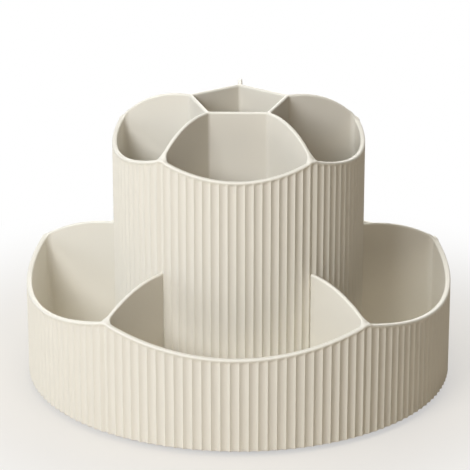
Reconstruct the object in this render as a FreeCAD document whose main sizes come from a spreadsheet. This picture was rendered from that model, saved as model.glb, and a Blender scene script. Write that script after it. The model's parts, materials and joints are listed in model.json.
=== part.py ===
import FreeCAD, Part
import os
import re

import Sketcher
from FreeCAD import Vector

# Two-tier rotating desk organiser.  A round fluted tray with five compartments carries a narrower
# fluted tower of five compartments round a five-sided cup, and both turn on a ball-bearing base.
#
# Frame: millimetres, +Z up, Z = 0 on the table top under the feet, the spin axis is Z and the front
# compartment faces -Y.  One divider of each tier lies in the YZ plane towards +Y and the others
# follow at equal angles, so what belongs to a divider is drawn on that plane.

# --- driving dimensions: (name, value in mm or as a count, meaning) ---------------------------------
SIZES = [
    ("compartments", 5, "compartments of each tier, and dividers between them"),
    # tray, measured from its own bottom edge
    ("tray_radius", 110.0, "over the flute ridges"),
    ("tray_wall", 2.8, "ridge to inner face"),
    ("tray_low", 48.7, "rim height in the middle of a compartment"),
    ("tray_high", 59.0, "rim height at a divider"),
    ("tray_divider_high", 70.8, "divider height beside the tower"),
    ("tray_divider_flat", 3.5, "level stretch of the divider's top beside the tower"),
    ("tray_gap", 2.5, "tray's bottom edge above the table"),
    ("tray_floor", 2.5, "floor thickness"),
    ("tray_flutes", 30, "flutes of one compartment's stretch of wall"),
    ("rib_width", 1.6, "ribs under the tray floor"),
    ("rib_drop", 6.0, "depth of those ribs below the floor"),
    ("rib_clearance", 2.0, "ribs to the base plate"),
    ("ribs_per_compartment", 4, "ribs under one compartment"),
    # tower, measured from its own bottom edge, which stands on the tray floor
    ("tower_radius", 64.5, "over the flute ridges"),
    ("tower_wall", 2.5, "ridge to inner face"),
    ("tower_low", 112.0, "rim height in the middle of a compartment"),
    ("tower_high", 119.1, "rim height at a divider"),
    ("tower_headroom", 0.7, "tower's floor over the tray's dome"),
    ("tower_floor", 2.0, "floor thickness"),
    ("tower_flutes", 19, "flutes of one compartment's stretch of wall"),
    ("hub_high", 134.1, "height of the centre cup"),
    ("hub_radius", 27.1, "centre cup, axis to outer corner"),
    ("hub_wall", 2.0, "wall of the centre cup"),
    ("hub_divider_flat", 3.0, "level stretch of a divider's top beside the cup"),
    # shared by both tiers
    ("divider", 2.0, "divider thickness"),
    ("flute_depth", 0.5, "hollow of a flute below its ridges"),
    ("seam_depth", 1.0, "depth of the vee groove in front of each divider"),
    ("corner_radius", 2.5, "fillet where a divider meets a wall"),
    ("tier_clearance", 0.3, "tray dividers to the tower wall"),
    # stationary base and its feet
    ("base_radius", 92.0, "outside of the base plate"),
    ("base_thickness", 3.0, "base plate floor"),
    ("base_lip", 6.5, "rim of the base plate above its underside"),
    ("base_lip_wall", 2.0, "thickness of that rim"),
    ("feet", 5, "feet under the base plate"),
    ("foot_inset", 10.0, "edge of the base plate to the centre of a foot"),
    ("foot_radius", 7.0, "rubber foot"),
    ("foot_thickness", 2.5, "rubber foot"),
    ("foot_pocket", 1.0, "depth of the foot's pocket in the base plate"),
    ("foot_clearance", 0.1, "foot in its pocket, all round"),
    ("foot_bevel", 0.5, "bevel round a foot's tread"),
    ("access_radius", 5.5, "hole in the base plate for driving the plate screws"),
    # ball race
    ("plate_gap", 3.7, "base plate to turntable plate"),
    ("plate_radius", 80.0, "turntable plate"),
    ("plate_thickness", 3.0, "turntable plate"),
    ("balls", 12, "balls in the race"),
    ("ball_radius", 3.0, "steel ball"),
    ("ball_inset", 10.0, "edge of the turntable plate to the centre of a ball"),
    ("race_clearance", 0.18, "ball in its groove"),
    ("cage_clearance", 0.15, "ball in the cage's hole"),
    ("cage_thickness", 1.8, "ball cage"),
    ("cage_width", 12.0, "ball cage, inner to outer edge"),
    # pivot
    ("boss_radius", 6.0, "post in the middle of the base plate"),
    ("bush_clearance", 0.06, "running fit of the bush on the post"),
    ("bush_wall", 2.0, "sleeve of the bush"),
    ("bush_flange", 3.0, "flange beyond the sleeve"),
    ("bush_flange_thickness", 1.0, "flange of the bush"),
    ("bush_proud", 0.5, "sleeve above the turntable plate"),
    ("seat_clearance", 0.02, "bush in the turntable plate"),
    ("lift_clearance", 0.2, "play under the washer"),
    ("washer_radius", 10.5, "retaining washer"),
    ("washer_thickness", 1.0, "retaining washer"),
    ("pivot_shank", 2.0, "pivot screw, radius"),
    ("pivot_head", 4.2, "pivot screw head, radius"),
    ("pivot_head_high", 2.6, "pivot screw head, height"),
    ("dome_clearance", 1.0, "tray's cover over the pivot, all round"),
    # screws and their bosses
    ("screw_shank", 1.5, "radius at the thread's pitch line"),
    ("screw_head", 3.4, "pan head, radius"),
    ("screw_head_high", 2.0, "pan head, height"),
    ("screw_bevel", 0.6, "bevel round a head and at a tip"),
    ("screw_hole", 0.2, "clearance hole over the shank"),
    ("screw_pilot", 0.02, "pilot hole over the shank"),
    ("pilot_spare", 0.6, "pilot hole beyond the screw's end"),
    ("screw_boss", 4.0, "boss round a screw, radius"),
    ("boss_cap", 1.2, "solid plastic beyond a pilot hole"),
    ("tower_screw_circle", 55.0, "axis to the screws that hold the tower"),
    ("plate_screw_circle", 36.0, "axis to the screws that hold the turntable plate"),
    ("window_clearance", 2.0, "window in the turntable plate round a tower screw's head"),
    ("slot_length", 3.6, "cross slot in a screw head"),
    ("slot_width", 0.9, "cross slot in a screw head"),
    ("slot_depth", 1.0, "cross slot in a screw head"),
]

# --- heights above the table, worked out from the sizes ---------------------------------------------
BASE_LOW = "(foot_thickness - foot_pocket)"
BASE_TOP = f"({BASE_LOW} + base_thickness)"
BALL_LEVEL = f"({BASE_TOP} + plate_gap / 2)"
PLATE_LOW = f"({BASE_TOP} + plate_gap)"
PLATE_TOP = f"({PLATE_LOW} + plate_thickness)"
FLOOR_TOP = f"({PLATE_TOP} + tray_floor)"
BOSS_TOP = f"({PLATE_TOP} + bush_proud + lift_clearance)"
WASHER_TOP = f"({BOSS_TOP} + washer_thickness)"
PIVOT_TOP = f"({WASHER_TOP} + pivot_head_high)"
DOME_LOW = f"({PIVOT_TOP} + dome_clearance)"
DOME_TOP = f"({DOME_LOW} + tray_floor)"
TOWER_FLOOR_LOW = f"({DOME_TOP} + tower_headroom)"
TOWER_FLOOR_TOP = f"({TOWER_FLOOR_LOW} + tower_floor)"
SECTOR = "(360 / compartments)"
TRAY_INNER = "(tray_radius - tray_wall)"
TOWER_INNER = "(tower_radius - tower_wall)"
FOOT_CIRCLE = "(base_radius - foot_inset)"
BALL_CIRCLE = "(plate_radius - ball_inset)"
RACE_RADIUS = "(ball_radius + race_clearance)"
BUSH_RADIUS = "(boss_radius + bush_clearance + bush_wall)"

doc = FreeCAD.newDocument("rotating_organiser")
sheet = doc.addObject("Spreadsheet::Sheet", "sizes")
for row, (name, size, meaning) in enumerate(SIZES, start=1):
    sheet.set(f"A{row}", name)
    sheet.set(f"B{row}", str(size))
    sheet.set(f"C{row}", meaning)
    sheet.setAlias(f"B{row}", name)
doc.recompute()

ALIASES = re.compile(r"\b(" + "|".join(name for name, _, _ in SIZES) + r")\b")

# how far from a wall face an upright edge may lie and still be a corner on it
CORNER_SEARCH = 0.1
# how far the vee cutter of a seam stands out of the wall
CUTTER_OVERRUN = 1.0


# --- small helpers ----------------------------------------------------------------------------------
def bind(item, property_name, formula):
    """Tie a property to a formula of the sheet's sizes."""
    item.setExpression(property_name, ALIASES.sub(r"sizes.\1", formula))


def value(formula):
    """Return what a formula of the sheet's sizes comes to now."""
    return float(sheet.evalExpression(formula))


def count(name):
    """Return a size that is a whole number of copies."""
    return int(round(value(name)))


def origin_item(body, role):
    """Return the plane or axis of a body's own origin that has this role."""
    return next(item for item in body.Origin.OriginFeatures if item.Role == role)


def new_body(label):
    """Start one sub-part."""
    body = doc.addObject("PartDesign::Body", label)
    body.Label = label
    return body


def new_sketch(body, name, role, height=None):
    """Start a sketch on one of the body's origin planes, raised along its normal if asked."""
    sketch = body.newObject("Sketcher::SketchObject", name)
    sketch.AttachmentSupport = [(origin_item(body, role), "")]
    sketch.MapMode = "FlatFace"
    if height is not None:
        bind(sketch, "AttachmentOffset.Base.z", height)
    return sketch


def fix_distance(sketch, kind, geometry, vertex, formula):
    """Hold a vertex at its distance from the sketch's origin along X or Y, on its own side."""
    if abs(value(formula)) < 1e-9:
        axis = -2 if kind == "DistanceX" else -1
        sketch.addConstraint(Sketcher.Constraint("PointOnObject", geometry, vertex, axis))
        return
    if value(formula) > 0:
        ends = (-1, 1, geometry, vertex)
        distance = formula
    else:
        ends = (geometry, vertex, -1, 1)
        distance = f"-({formula})"
    index = sketch.addConstraint(Sketcher.Constraint(kind, *ends, abs(value(formula))))
    bind(sketch, f"Constraints[{index}]", distance)


def place_vertex(sketch, geometry, vertex, corner):
    """Hold a vertex at a corner given as two formulas."""
    fix_distance(sketch, "DistanceX", geometry, vertex, corner[0])
    fix_distance(sketch, "DistanceY", geometry, vertex, corner[1])


def draw_outline(sketch, corners):
    """Draw a closed outline of straight lines through corners given as pairs of formulas."""
    points = [Vector(value(x), value(y), 0) for x, y in corners]
    first = sketch.GeometryCount
    for start, end in zip(points, points[1:] + points[:1]):
        sketch.addGeometry(Part.LineSegment(start, end), False)
    for index, corner in enumerate(corners):
        following = first + (index + 1) % len(corners)
        sketch.addConstraint(Sketcher.Constraint("Coincident", first + index, 2, following, 1))
        place_vertex(sketch, first + index, 1, corner)
    return sketch


def draw_circle(sketch, centre, radius):
    """Draw a circle about a centre given as a pair of formulas."""
    middle = Vector(value(centre[0]), value(centre[1]), 0)
    index = sketch.addGeometry(Part.Circle(middle, Vector(0, 0, 1), value(radius)), False)
    place_vertex(sketch, index, 3, centre)
    size = sketch.addConstraint(Sketcher.Constraint("Radius", index, value(radius)))
    bind(sketch, f"Constraints[{size}]", radius)
    return sketch


def draw_fin(sketch, inner, outer, low, high, outer_high, flat):
    """Draw a divider's side: upright ends, a level top, then an arc that falls to the rim."""
    shoulder = f"({inner} + {flat})"
    drop = f"({high} - {outer_high})"
    arc_radius = f"((({outer} - {shoulder})^2 + {drop}^2) / (2 * {drop}))"
    corners = [(inner, low), (outer, low), (outer, outer_high), (shoulder, high), (inner, high)]
    points = [Vector(value(x), value(y), 0) for x, y in corners]
    centre = points[3] - Vector(0, value(arc_radius), 0)
    halfway = (points[2] + points[3]) / 2 - centre
    crown = centre + halfway.normalize() * value(arc_radius)
    sketch.addGeometry(Part.LineSegment(points[0], points[1]), False)
    sketch.addGeometry(Part.LineSegment(points[1], points[2]), False)
    sketch.addGeometry(Part.Arc(points[2], crown, points[3]), False)
    sketch.addGeometry(Part.LineSegment(points[3], points[4]), False)
    sketch.addGeometry(Part.LineSegment(points[4], points[0]), False)
    # the arc starts at its lower angle, on the rim, and ends on the level top, where it is tangent
    for geometry, following in ((0, 1), (1, 2), (3, 4), (4, 0)):
        sketch.addConstraint(Sketcher.Constraint("Coincident", geometry, 2, following, 1))
    for geometry, corner in enumerate(corners):
        place_vertex(sketch, geometry, 1, corner)
    sketch.addConstraint(Sketcher.Constraint("Tangent", 2, 2, 3, 1))
    return sketch


def extrude(body, kind, name, sketch, length=None, midplane=False, reverse=False):
    """Pad or pocket a sketch, through everything when no length is given."""
    feature = body.newObject(f"PartDesign::{kind}", name)
    feature.Profile = sketch
    feature.Midplane = midplane
    feature.Reversed = reverse
    if length is None:
        feature.Type = "ThroughAll"
    else:
        bind(feature, "Length", length)
    return feature


def revolve(body, kind, name, sketch, axis=None):
    """Revolve a sketch fully round the body's Z axis or round the sketch's own construction line."""
    feature = body.newObject(f"PartDesign::{kind}", name)
    feature.Profile = sketch
    feature.ReferenceAxis = (origin_item(body, "Z_Axis"), [""]) if axis is None else (sketch, [axis])
    feature.Angle = 360
    return feature


def repeat(body, name, features, copies):
    """Repeat features at equal angles round the body's Z axis."""
    doc.recompute()
    pattern = body.newObject("PartDesign::PolarPattern", name)
    pattern.Originals = features
    pattern.Axis = (origin_item(body, "Z_Axis"), [""])
    pattern.Angle = 360
    bind(pattern, "Occurrences", copies)
    body.Tip = pattern
    doc.recompute()


def upright_edges(shape, nearest, furthest):
    """Name the straight upright edges of a shape whose distance from the Z axis is in a range."""
    names = []
    for index, edge in enumerate(shape.Edges, start=1):
        if edge.Curve.TypeId != "Part::GeomLine":
            continue
        direction = edge.Curve.Direction
        middle = edge.CenterOfMass
        if abs(direction.z) > 0.999 and nearest < Vector(middle.x, middle.y, 0).Length < furthest:
            names.append(f"Edge{index}")
    return names


# --- features that both tiers share -----------------------------------------------------------------
def cut_rim(body, radius, low, high):
    """Dish the rim of a ring wall: one arc over each compartment, meeting in a peak at each divider."""
    half_chord = f"({radius} * sin({SECTOR} / 2))"
    rise = f"({high} - {low})"
    arc_radius = f"(({half_chord}^2 + {rise}^2) / (2 * {rise}))"
    sketch = draw_circle(new_sketch(body, "rim_arc", "XZ_Plane"), ("0", f"{low} + {arc_radius}"), arc_radius)
    cut = extrude(body, "Pocket", "rim_dip", sketch, reverse=True)
    repeat(body, "rim_dips", [cut], "compartments")


def cut_flutes(body, radius, flutes):
    """Groove a ring wall: hollow flutes side by side and one vee groove in front of each divider."""
    pitch = f"({SECTOR} / {flutes})"
    ridge = f"({radius} * cos({pitch} / 2))"
    half_width = f"({radius} * sin({pitch} / 2))"
    hollow = f"(({half_width}^2 + flute_depth^2) / (2 * flute_depth))"
    reach = f"({ridge} - flute_depth + {hollow})"

    seam = new_sketch(body, "seam_outline", "XY_Plane")
    proud = f"({radius} + {CUTTER_OVERRUN})"
    widen = f"({half_width} * (seam_depth + {proud} - {ridge}) / seam_depth)"
    draw_outline(seam, [("0", f"{ridge} - seam_depth"), (widen, proud), (f"-{widen}", proud)])
    groove = extrude(body, "Pocket", "seam", seam, reverse=True)
    repeat(body, "seams", [groove], "compartments")

    outline = new_sketch(body, "flute_outline", "XY_Plane")
    draw_circle(outline, (f"{reach} * sin({pitch})", f"{reach} * cos({pitch})"), hollow)
    flute = extrude(body, "Pocket", "flute", outline, reverse=True)
    doc.recompute()
    row = body.newObject("PartDesign::PolarPattern", "flute_row")
    row.Axis = (origin_item(body, "Z_Axis"), [""])
    row.Reversed = True
    bind(row, "Angle", f"{SECTOR} - 2 * {pitch}")
    bind(row, "Occurrences", f"{flutes} - 1")
    sectors = body.newObject("PartDesign::PolarPattern", "flute_sectors")
    sectors.Axis = (origin_item(body, "Z_Axis"), [""])
    sectors.Angle = 360
    bind(sectors, "Occurrences", "compartments")
    every = body.newObject("PartDesign::MultiTransform", "flutes")
    every.Originals = [flute]
    every.Transformations = [row, sectors]
    body.Tip = every
    doc.recompute()


def round_corners(body, wall_face):
    """Fillet the upright corners between the dividers and the inner face of a ring wall."""
    base = body.Tip
    reach = value(wall_face)
    fillet = body.newObject("PartDesign::Fillet", "corners")
    fillet.Base = (base, upright_edges(base.Shape, reach - CORNER_SEARCH, reach + CORNER_SEARCH))
    bind(fillet, "Radius", "corner_radius")
    body.Tip = fillet
    doc.recompute()


def drill(body, name, circle, radius, low, high, copies):
    """Cut round holes upwards from one level to another, evenly spaced on a circle about Z."""
    sketch = draw_circle(new_sketch(body, f"{name}_outline", "XY_Plane", low), ("0", circle), radius)
    hole = extrude(body, "Pocket", name, sketch, f"{high} - {low}", reverse=True)
    repeat(body, f"{name}s", [hole], copies)


def add_bosses(body, circle, low, high):
    """Add a screw boss in line with each divider, its blind pilot hole open at the lower end."""
    outline = draw_circle(new_sketch(body, "boss_outline", "XY_Plane", low), ("0", circle), "screw_boss")
    boss = extrude(body, "Pad", "boss", outline, f"{high} - {low}")
    doc.recompute()
    bore = draw_circle(new_sketch(body, "pilot_outline", "XY_Plane", low), ("0", circle),
                       "(screw_shank + screw_pilot)")
    pilot = extrude(body, "Pocket", "pilot", bore, f"{high} - {low} - boss_cap", reverse=True)
    repeat(body, "bosses", [boss, pilot], "compartments")


def cut_race(body):
    """Cut the ball groove: a ring of the balls' own section, a little larger all round."""
    ring = draw_circle(new_sketch(body, "race_section", "XZ_Plane"), (BALL_CIRCLE, BALL_LEVEL), RACE_RADIUS)
    body.Tip = revolve(body, "Groove", "race", ring)
    doc.recompute()


def stand_on_circle(item, circle, index, copies):
    """Place one of several equal pieces on a circle about Z, the first towards +Y."""
    turn = f"({index} * 360 / {copies})"
    bind(item, "Placement.Base.x", f"-{circle} * sin({turn})")
    bind(item, "Placement.Base.y", f"{circle} * cos({turn})")


def make_screw(label, circle, face, seat, tip, shank, head, way):
    """Return pan-head screws on a circle, or one on the axis: head face, head seat and tip levels.

    way is 1 for screws driven upwards and -1 for one driven downwards.
    """
    body = new_body(label)
    sketch = new_sketch(body, "section", "YZ_Plane")
    draw_outline(sketch, [
        (circle, face), (f"({circle} + {head} - screw_bevel)", face),
        (f"({circle} + {head})", f"({face} + {way} * screw_bevel)"), (f"({circle} + {head})", seat),
        (f"({circle} + {shank})", seat), (f"({circle} + {shank})", f"({tip} - {way} * screw_bevel)"),
        (f"({circle} + {shank} - screw_bevel)", tip), (circle, tip)])
    ends = [Vector(value(circle), value(level), 0) for level in (face, tip)]
    centre_line = sketch.addGeometry(Part.LineSegment(*ends), True)
    for vertex, level in ((1, face), (2, tip)):
        place_vertex(sketch, centre_line, vertex, (circle, level))
    turned = revolve(body, "Revolution", "turned", sketch, "Axis0")
    doc.recompute()

    cross = []
    for along, across in ((1, 1), (-1, 1), (-1, -1), (1, -1)):
        arms = [(f"{along} * slot_length / 2", f"{across} * slot_width / 2"),
                (f"{along} * slot_width / 2", f"{across} * slot_width / 2"),
                (f"{along} * slot_width / 2", f"{across} * slot_length / 2")]
        cross += arms if along == across else arms[::-1]
    plan = new_sketch(body, "cross_outline", "XY_Plane", face)
    draw_outline(plan, [(x, f"{circle} + {y}") for x, y in cross])
    slot = extrude(body, "Pocket", "cross_slot", plan, "slot_depth", reverse=way == "1")
    copies = "1" if circle == "0" else "compartments"
    repeat(body, "screws", [turned, slot], copies)
    return body


# --- sub-parts --------------------------------------------------------------------------------------
def make_lower_tray():
    """Return the tray: a fluted bowl on a raised floor, with dividers above and ribs below."""
    body = new_body("lower_tray")
    high = "(tray_gap + tray_high)"
    dome_inner = "(washer_radius + dome_clearance)"
    dome_outer = f"({dome_inner} + tray_floor)"

    section = draw_outline(new_sketch(body, "section", "XZ_Plane"), [
        ("tray_radius", "tray_gap"), ("tray_radius", high), (TRAY_INNER, high), (TRAY_INNER, FLOOR_TOP),
        (dome_outer, FLOOR_TOP), (dome_outer, DOME_TOP), ("0", DOME_TOP), ("0", DOME_LOW),
        (dome_inner, DOME_LOW), (dome_inner, PLATE_TOP), (TRAY_INNER, PLATE_TOP), (TRAY_INNER, "tray_gap")])
    revolve(body, "Revolution", "bowl", section)
    cut_rim(body, "tray_radius", "(tray_gap + tray_low)", high)
    cut_flutes(body, "tray_radius", "tray_flutes")

    side = draw_fin(new_sketch(body, "divider_side", "YZ_Plane"), "(tower_radius + tier_clearance)",
                    "(tray_radius - tray_wall / 2)", FLOOR_TOP, "(tray_gap + tray_divider_high)", high,
                    "tray_divider_flat")
    fin = extrude(body, "Pad", "divider_fin", side, "divider", midplane=True)
    repeat(body, "dividers", [fin], "compartments")
    round_corners(body, TRAY_INNER)

    rib_start = "(base_radius + rib_clearance)"
    rib_low = f"({PLATE_TOP} - rib_drop)"
    rib_side = draw_outline(new_sketch(body, "rib_side", "YZ_Plane"), [
        (rib_start, rib_low), ("(tray_radius - tray_wall / 2)", rib_low),
        ("(tray_radius - tray_wall / 2)", PLATE_TOP), (rib_start, PLATE_TOP)])
    rib = extrude(body, "Pad", "rib", rib_side, "rib_width", midplane=True)
    repeat(body, "ribs", [rib], "compartments * ribs_per_compartment")

    add_bosses(body, "plate_screw_circle", PLATE_TOP, DOME_TOP)
    drill(body, "tower_screw_hole", "tower_screw_circle", "(screw_shank + screw_hole)", PLATE_TOP,
          FLOOR_TOP, "compartments")
    return [body]


def make_upper_tower():
    """Return the tower: a fluted cup on a raised floor, with a five-sided cup and dividers in it."""
    body = new_body("upper_tower")
    high = f"({FLOOR_TOP} + tower_high)"
    hub_top = f"({FLOOR_TOP} + hub_high)"

    section = draw_outline(new_sketch(body, "section", "XZ_Plane"), [
        ("tower_radius", FLOOR_TOP), ("tower_radius", high), (TOWER_INNER, high),
        (TOWER_INNER, TOWER_FLOOR_TOP), ("0", TOWER_FLOOR_TOP), ("0", TOWER_FLOOR_LOW),
        (TOWER_INNER, TOWER_FLOOR_LOW), (TOWER_INNER, FLOOR_TOP)])
    revolve(body, "Revolution", "cup", section)
    cut_rim(body, "tower_radius", f"({FLOOR_TOP} + tower_low)", high)
    cut_flutes(body, "tower_radius", "tower_flutes")

    plan = new_sketch(body, "hub_plan", "XY_Plane", TOWER_FLOOR_LOW)
    for reach in ("hub_radius", f"(hub_radius - hub_wall / cos({SECTOR} / 2))"):
        draw_outline(plan, [(f"{reach} * sin({step} * {SECTOR})", f"{reach} * cos({step} * {SECTOR})")
                            for step in range(count("compartments"))])
    body.Tip = extrude(body, "Pad", "hub", plan, f"{hub_top} - {TOWER_FLOOR_LOW}")
    doc.recompute()

    side = draw_fin(new_sketch(body, "divider_side", "YZ_Plane"), "(hub_radius - hub_wall)",
                    "(tower_radius - tower_wall / 2)", TOWER_FLOOR_TOP, hub_top, high,
                    "(hub_wall + hub_divider_flat)")
    fin = extrude(body, "Pad", "divider_fin", side, "divider", midplane=True)
    repeat(body, "dividers", [fin], "compartments")
    round_corners(body, TOWER_INNER)
    add_bosses(body, "tower_screw_circle", FLOOR_TOP, TOWER_FLOOR_TOP)
    return [body]


def make_turntable_plate():
    """Return the turning half of the base: a disc with a ball groove under it."""
    body = new_body("turntable_plate")
    bore = f"({BUSH_RADIUS} + seat_clearance)"
    section = draw_outline(new_sketch(body, "section", "XZ_Plane"), [
        (bore, PLATE_LOW), ("plate_radius", PLATE_LOW), ("plate_radius", PLATE_TOP), (bore, PLATE_TOP)])
    revolve(body, "Revolution", "disc", section)
    cut_race(body)
    drill(body, "screw_hole", "plate_screw_circle", "(screw_shank + screw_hole)", PLATE_LOW, PLATE_TOP,
          "compartments")
    drill(body, "head_window", "tower_screw_circle", "(screw_head + window_clearance)", PLATE_LOW,
          PLATE_TOP, "compartments")
    return [body]


def make_base_plate():
    """Return the standing half of the base: a lipped disc with the pivot post and a ball groove."""
    body = new_body("base_plate")
    pilot = "(pivot_shank + screw_pilot)"
    lip_inner = "(base_radius - base_lip_wall)"
    lip_top = f"({BASE_LOW} + base_lip)"
    section = draw_outline(new_sketch(body, "section", "XZ_Plane"), [
        ("0", BASE_LOW), ("base_radius", BASE_LOW), ("base_radius", lip_top), (lip_inner, lip_top),
        (lip_inner, BASE_TOP), ("boss_radius", BASE_TOP), ("boss_radius", BOSS_TOP), (pilot, BOSS_TOP),
        (pilot, BASE_TOP), ("0", BASE_TOP)])
    revolve(body, "Revolution", "dish", section)
    cut_race(body)
    drill(body, "foot_seat", FOOT_CIRCLE, "(foot_radius + foot_clearance)", BASE_LOW,
          f"({BASE_LOW} + foot_pocket)", "feet")
    drill(body, "access_hole", "plate_screw_circle", "access_radius", BASE_LOW, BASE_TOP, "1")
    return [body]


def make_ball_cage():
    """Return the flat ring that keeps the balls apart, half-way between the two plates."""
    body = new_body("ball_cage")
    inner = f"({BALL_CIRCLE} - cage_width / 2)"
    outer = f"({BALL_CIRCLE} + cage_width / 2)"
    low = f"({BALL_LEVEL} - cage_thickness / 2)"
    high = f"({BALL_LEVEL} + cage_thickness / 2)"
    section = draw_outline(new_sketch(body, "section", "XZ_Plane"), [
        (inner, low), (outer, low), (outer, high), (inner, high)])
    revolve(body, "Revolution", "ring", section)
    drill(body, "ball_hole", BALL_CIRCLE, "(ball_radius + cage_clearance)", low, high, "balls")
    return [body]


def make_balls():
    """Return the steel balls, one in each hole of the cage."""
    balls = []
    for index in range(count("balls")):
        ball = doc.addObject("Part::Sphere", f"ball_{index + 1}")
        ball.Label = f"ball_{index + 1}"
        bind(ball, "Radius", "ball_radius")
        stand_on_circle(ball, BALL_CIRCLE, index, "balls")
        bind(ball, "Placement.Base.z", BALL_LEVEL)
        balls.append(ball)
    return balls


def make_feet():
    """Return the rubber feet, each a bevelled pad in its pocket under the base plate."""
    feet = []
    for index in range(count("feet")):
        body = new_body(f"foot_{index + 1}")
        section = draw_outline(new_sketch(body, "section", "XZ_Plane"), [
            ("0", "0"), ("foot_radius - foot_bevel", "0"), ("foot_radius", "foot_bevel"),
            ("foot_radius", "foot_thickness"), ("0", "foot_thickness")])
        revolve(body, "Revolution", "pad", section)
        stand_on_circle(body, FOOT_CIRCLE, index, "feet")
        feet.append(body)
    return feet


def make_pivot_bush():
    """Return the flanged bush that runs on the base plate's post and sits in the turntable plate."""
    body = new_body("pivot_bush")
    bore = "(boss_radius + bush_clearance)"
    flange = f"({BUSH_RADIUS} + bush_flange)"
    low = f"({PLATE_LOW} - bush_flange_thickness)"
    high = f"({PLATE_TOP} + bush_proud)"
    section = draw_outline(new_sketch(body, "section", "XZ_Plane"), [
        (bore, low), (flange, low), (flange, PLATE_LOW), (BUSH_RADIUS, PLATE_LOW), (BUSH_RADIUS, high),
        (bore, high)])
    revolve(body, "Revolution", "sleeve", section)
    return [body]


def make_pivot_washer():
    """Return the washer on the post that stops the turntable plate from lifting off."""
    body = new_body("pivot_washer")
    hole = "(pivot_shank + screw_hole)"
    section = draw_outline(new_sketch(body, "section", "XZ_Plane"), [
        (hole, BOSS_TOP), ("washer_radius", BOSS_TOP), ("washer_radius", WASHER_TOP), (hole, WASHER_TOP)])
    revolve(body, "Revolution", "ring", section)
    return [body]


def make_pivot_screw():
    """Return the pan-head screw driven down into the post."""
    tip = f"({BASE_TOP} + pilot_spare)"
    return [make_screw("pivot_screw", "0", PIVOT_TOP, WASHER_TOP, tip, "pivot_shank", "pivot_head", "-1")]


def make_plate_screws():
    """Return the screws driven up through the turntable plate into the tray's bosses."""
    tip = f"({DOME_TOP} - boss_cap - pilot_spare)"
    screw = make_screw("plate_screws", "plate_screw_circle", f"({PLATE_LOW} - screw_head_high)", PLATE_LOW,
                       tip, "screw_shank", "screw_head", "1")
    return [screw]


def make_tower_screws():
    """Return the screws driven up through the tray's floor into the tower's bosses."""
    tip = f"({TOWER_FLOOR_TOP} - boss_cap - pilot_spare)"
    screw = make_screw("tower_screws", "tower_screw_circle", f"({PLATE_TOP} - screw_head_high)", PLATE_TOP,
                       tip, "screw_shank", "screw_head", "1")
    return [screw]


# --- build, check and write -------------------------------------------------------------------------
parts = []
for make in (make_base_plate, make_feet, make_pivot_bush, make_pivot_washer, make_pivot_screw,
             make_ball_cage, make_balls, make_turntable_plate, make_plate_screws, make_lower_tray,
             make_tower_screws, make_upper_tower):
    parts += make()
doc.recompute()

for item in doc.Objects:
    if "Invalid" in item.State or "Error" in item.State:
        raise RuntimeError(f"{item.Label} did not build: {item.State}")
for item in parts:
    if item.Shape.isNull() or not item.Shape.isValid() or not item.Shape.Solids:
        raise RuntimeError(f"{item.Label} is not a valid solid")

os.makedirs("parts", exist_ok=True)
for item in parts:
    item.Shape.exportStep(f"parts/{item.Label}.step")
    print(f"{item.Label:18s} {len(item.Shape.Solids):3d} solids {item.Shape.Volume:12.1f} mm3")
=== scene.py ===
import json
import logging
import math
from dataclasses import dataclass
from enum import Enum, IntEnum

import bmesh
import bpy
import numpy as np
from bpy.types import ID, Material, Node, NodeTree, Object
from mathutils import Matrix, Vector


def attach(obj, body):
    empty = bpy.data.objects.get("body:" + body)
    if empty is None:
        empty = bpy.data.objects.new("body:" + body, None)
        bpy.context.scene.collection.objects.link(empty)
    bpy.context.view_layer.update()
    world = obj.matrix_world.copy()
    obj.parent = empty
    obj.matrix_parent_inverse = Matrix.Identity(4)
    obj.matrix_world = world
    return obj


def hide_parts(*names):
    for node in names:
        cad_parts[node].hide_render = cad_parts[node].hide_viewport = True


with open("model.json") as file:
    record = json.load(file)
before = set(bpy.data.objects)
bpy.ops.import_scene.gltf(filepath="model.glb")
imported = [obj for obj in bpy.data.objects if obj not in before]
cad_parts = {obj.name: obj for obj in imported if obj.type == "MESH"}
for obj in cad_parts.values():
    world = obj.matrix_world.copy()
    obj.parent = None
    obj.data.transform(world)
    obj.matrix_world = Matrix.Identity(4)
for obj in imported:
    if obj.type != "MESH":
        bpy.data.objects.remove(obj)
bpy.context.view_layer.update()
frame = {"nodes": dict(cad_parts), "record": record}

MM = 0.001
QUARTER_TURN = math.pi / 2
FRONT = -QUARTER_TURN
WELD = 1e-6
SAME_ANGLE = 1e-9
ANGLE_DIGITS = 12
SHARP_FROM = math.radians(60)
# mesh attribute that holds each point's share of the painted rim highlight
RIM_HIGHLIGHT = "edge"

Colour = tuple[float, float, float]
Place = tuple[float, float, float]
Array = np.ndarray
Numbers = float | complex | Array
Grid = tuple[Array, Array, Array]

WHITE: Colour = (1.0, 1.0, 1.0)

logging.basicConfig(level=logging.INFO, format="%(message)s")
log = logging.getLogger("organiser")


class Body(Enum):
    """The rigid bodies of the organiser."""

    BASE = "base"
    CAGE = "cage"
    ORGANISER = "organiser"


class Slot(Enum):
    """The record's material slots."""

    TRAY = "tray_plastic"
    TOWER = "tower_plastic"
    TURNTABLE = "turntable_plastic"
    BASE = "base_plastic"
    CAGE = "cage_plastic"
    BUSH = "bush_plastic"
    ZINC = "zinc_steel"
    BALL = "ball_steel"
    FOOT = "foot_rubber"


class MixInput(IntEnum):
    """Positions of a Mix node's inputs, whose names repeat for each kind of data."""

    FACTOR = 0
    FLOAT_A = 2
    FLOAT_B = 3
    COLOUR_A = 6
    COLOUR_B = 7


class MixOutput(IntEnum):
    """Positions of a Mix node's results."""

    FLOAT = 0
    COLOUR = 2


class MathInput(IntEnum):
    """Positions of a Math node's inputs."""

    A = 0
    B = 1


class ShaderInput(IntEnum):
    """Positions of a Mix Shader node's inputs: the share of the second shader, and both shaders."""

    SHARE = 0
    FIRST = 1
    SECOND = 2


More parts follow.
